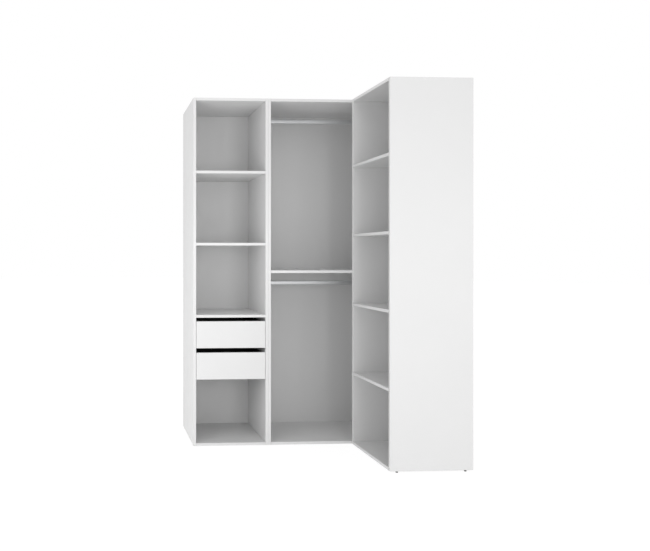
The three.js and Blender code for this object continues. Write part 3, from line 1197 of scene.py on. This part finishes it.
# Each soft light's place, the point that it faces, and its width and height
SOFT_LIGHTS = {
    "near": ((-2.0, -1.6, 1.2), (0.0, -0.2, 1.15), (0.8, 1.2)),
    "left": ((-2.2, -0.9, 1.2), (0.2, -0.3, 1.15), (0.8, 1.2)),
    "front": ((0.4, -3.6, 1.3), MIDDLE, (1.0, 1.0)),
    "side": ((-3.6, 0.3, 1.3), MIDDLE, (1.2, 1.2)),
    "right": ((2.5, -3.0, 1.3), MIDDLE, (1.2, 1.2)),
    "top": ((-0.5, -2.5, 4.2), MIDDLE, (2.0, 2.0)),
}


class WARDROBE_OT_stage(Operator):
    """Sets the camera, the white floor and the soft lights"""

    bl_idname = "wardrobe.stage"
    bl_label = "Studio"

    def execute(self, context):
        look = context.scene.wardrobe_stage
        context.scene.view_settings.view_transform = "Standard"
        set_camera(context.scene, look)
        set_world(context.scene, look)
        lay_floor(context.scene, look)
        for name, (place, aim, size) in SOFT_LIGHTS.items():
            power = getattr(look, f"{name}_power")
            hang_light(context.scene, name, power, Vector(place), Vector(aim), size)
        return {"FINISHED"}


def set_camera(scene, look):
    """Stands the camera at the left, almost level, looking into the wardrobe's depth."""
    camera = bpy.data.objects.new("camera", bpy.data.cameras.new("camera"))
    camera.location = look.camera_place
    camera.rotation_euler = (math.pi / 2 + look.camera_tilt, 0.0, -look.camera_turn)
    camera.data.lens = look.lens
    camera.data.sensor_width = SENSOR_WIDTH
    camera.data.shift_x = look.shift_across
    camera.data.shift_y = look.shift_up
    scene.collection.objects.link(camera)
    scene.camera = camera


def set_world(scene, look):
    """Even white light all round, with a plain white backdrop behind the object."""
    world = bpy.data.worlds.new("studio_white")
    world.use_nodes = True
    tree = world.node_tree
    tree.nodes.clear()
    seen = put(tree, "LightPath").outputs["Is Camera Ray"]
    light = put(tree, "Background", {"Color": grey(1.0), "Strength": look.ambient})
    backdrop = put(tree, "Background", {"Color": grey(1.0), "Strength": 1.0})
    both = put(tree, "MixShader", {0: seen, 1: light.outputs[0], 2: backdrop.outputs[0]})
    put(tree, "OutputWorld", {"Surface": both.outputs[0]})
    scene.world = world


def floor_finish(look):
    """White floor, lit evenly for the camera with only a share of its own shading."""
    material, tree, shader = new_finish("studio_floor")
    seen = put(tree, "LightPath").outputs["Is Camera Ray"]
    shaded = [channel * look.floor_shading for channel in look.floor_colour]
    sources = {
        "Base Color": mixed(tree, seen, opaque(look.floor_colour), opaque(shaded)),
        "Roughness": 0.9,
        "Specular IOR Level": 0.1,
        "Emission Color": grey(1.0),
        "Emission Strength": ranged(tree, seen, (0.0, 1.0), (look.floor_glow, look.floor_shown)),
    }
    fill(tree, shader, sources)
    return material


def lay_floor(scene, look):
    """A round white floor that darkens only where the object stands close to it."""
    shape = bmesh.new()
    bmesh.ops.create_circle(shape, cap_ends=True, segments=FLOOR_STEPS, radius=FLOOR_RADIUS)
    floor = bpy.data.objects.new("floor", mesh_of("floor", shape))
    floor.data.materials.append(floor_finish(look))
    scene.collection.objects.link(floor)


def hang_light(scene, name, power, place, aim, size):
    """A rectangular soft light turned towards its aim."""
    lamp = bpy.data.lights.new(f"{name}_light", "AREA")
    lamp.shape = "RECTANGLE"
    lamp.size, lamp.size_y = size
    lamp.energy = power
    light = bpy.data.objects.new(f"{name}_light", lamp)
    light.location = place
    light.rotation_euler = (aim - place).to_track_quat("-Z", "Y").to_euler()
    light.visible_camera = False
    scene.collection.objects.link(light)


# Panel and registration

OPERATORS = (
    WARDROBE_OT_stage,
    WARDROBE_OT_uprights,
    WARDROBE_OT_levels,
    WARDROBE_OT_backs,
    WARDROBE_OT_drawers,
    WARDROBE_OT_runners,
    WARDROBE_OT_rails,
    WARDROBE_OT_feet,
)
SETTINGS = (
    ("wardrobe_boards", BoardSettings),
    ("wardrobe_hardware", HardwareSettings),
    ("wardrobe_finish", FinishSettings),
    ("wardrobe_stage", StageSettings),
)


class WARDROBE_PT_panel(Panel):
    """Lists the steps and the sizes of the wardrobe"""

    bl_idname = "WARDROBE_PT_panel"
    bl_label = "Corner wardrobe"
    bl_space_type = "VIEW_3D"
    bl_region_type = "UI"
    bl_category = "Wardrobe"

    def draw(self, context):
        for operator in OPERATORS:
            self.layout.operator(operator.bl_idname)
        for name, group in SETTINGS:
            box = self.layout.box()
            settings = getattr(context.scene, name)
            for field in group.__annotations__:
                box.prop(settings, field)


def register():
    """Registers the settings, the operators and the panel."""
    for name, group in SETTINGS:
        bpy.utils.register_class(group)
        setattr(bpy.types.Scene, name, PointerProperty(type=group))
    for operator in OPERATORS:
        bpy.utils.register_class(operator)
    bpy.utils.register_class(WARDROBE_PT_panel)


def unregister():
    """Takes the panel, the operators and the settings out again."""
    bpy.utils.unregister_class(WARDROBE_PT_panel)
    for operator in reversed(OPERATORS):
        bpy.utils.unregister_class(operator)
    for name, group in reversed(SETTINGS):
        delattr(bpy.types.Scene, name)
        bpy.utils.unregister_class(group)


def main():
    """Builds the wardrobe step by step."""
    register()
    for step in ("stage", "uprights", "levels", "backs", "drawers", "runners", "rails", "feet"):
        getattr(bpy.ops.wardrobe, step)()


if __name__ == "__main__":
    main()
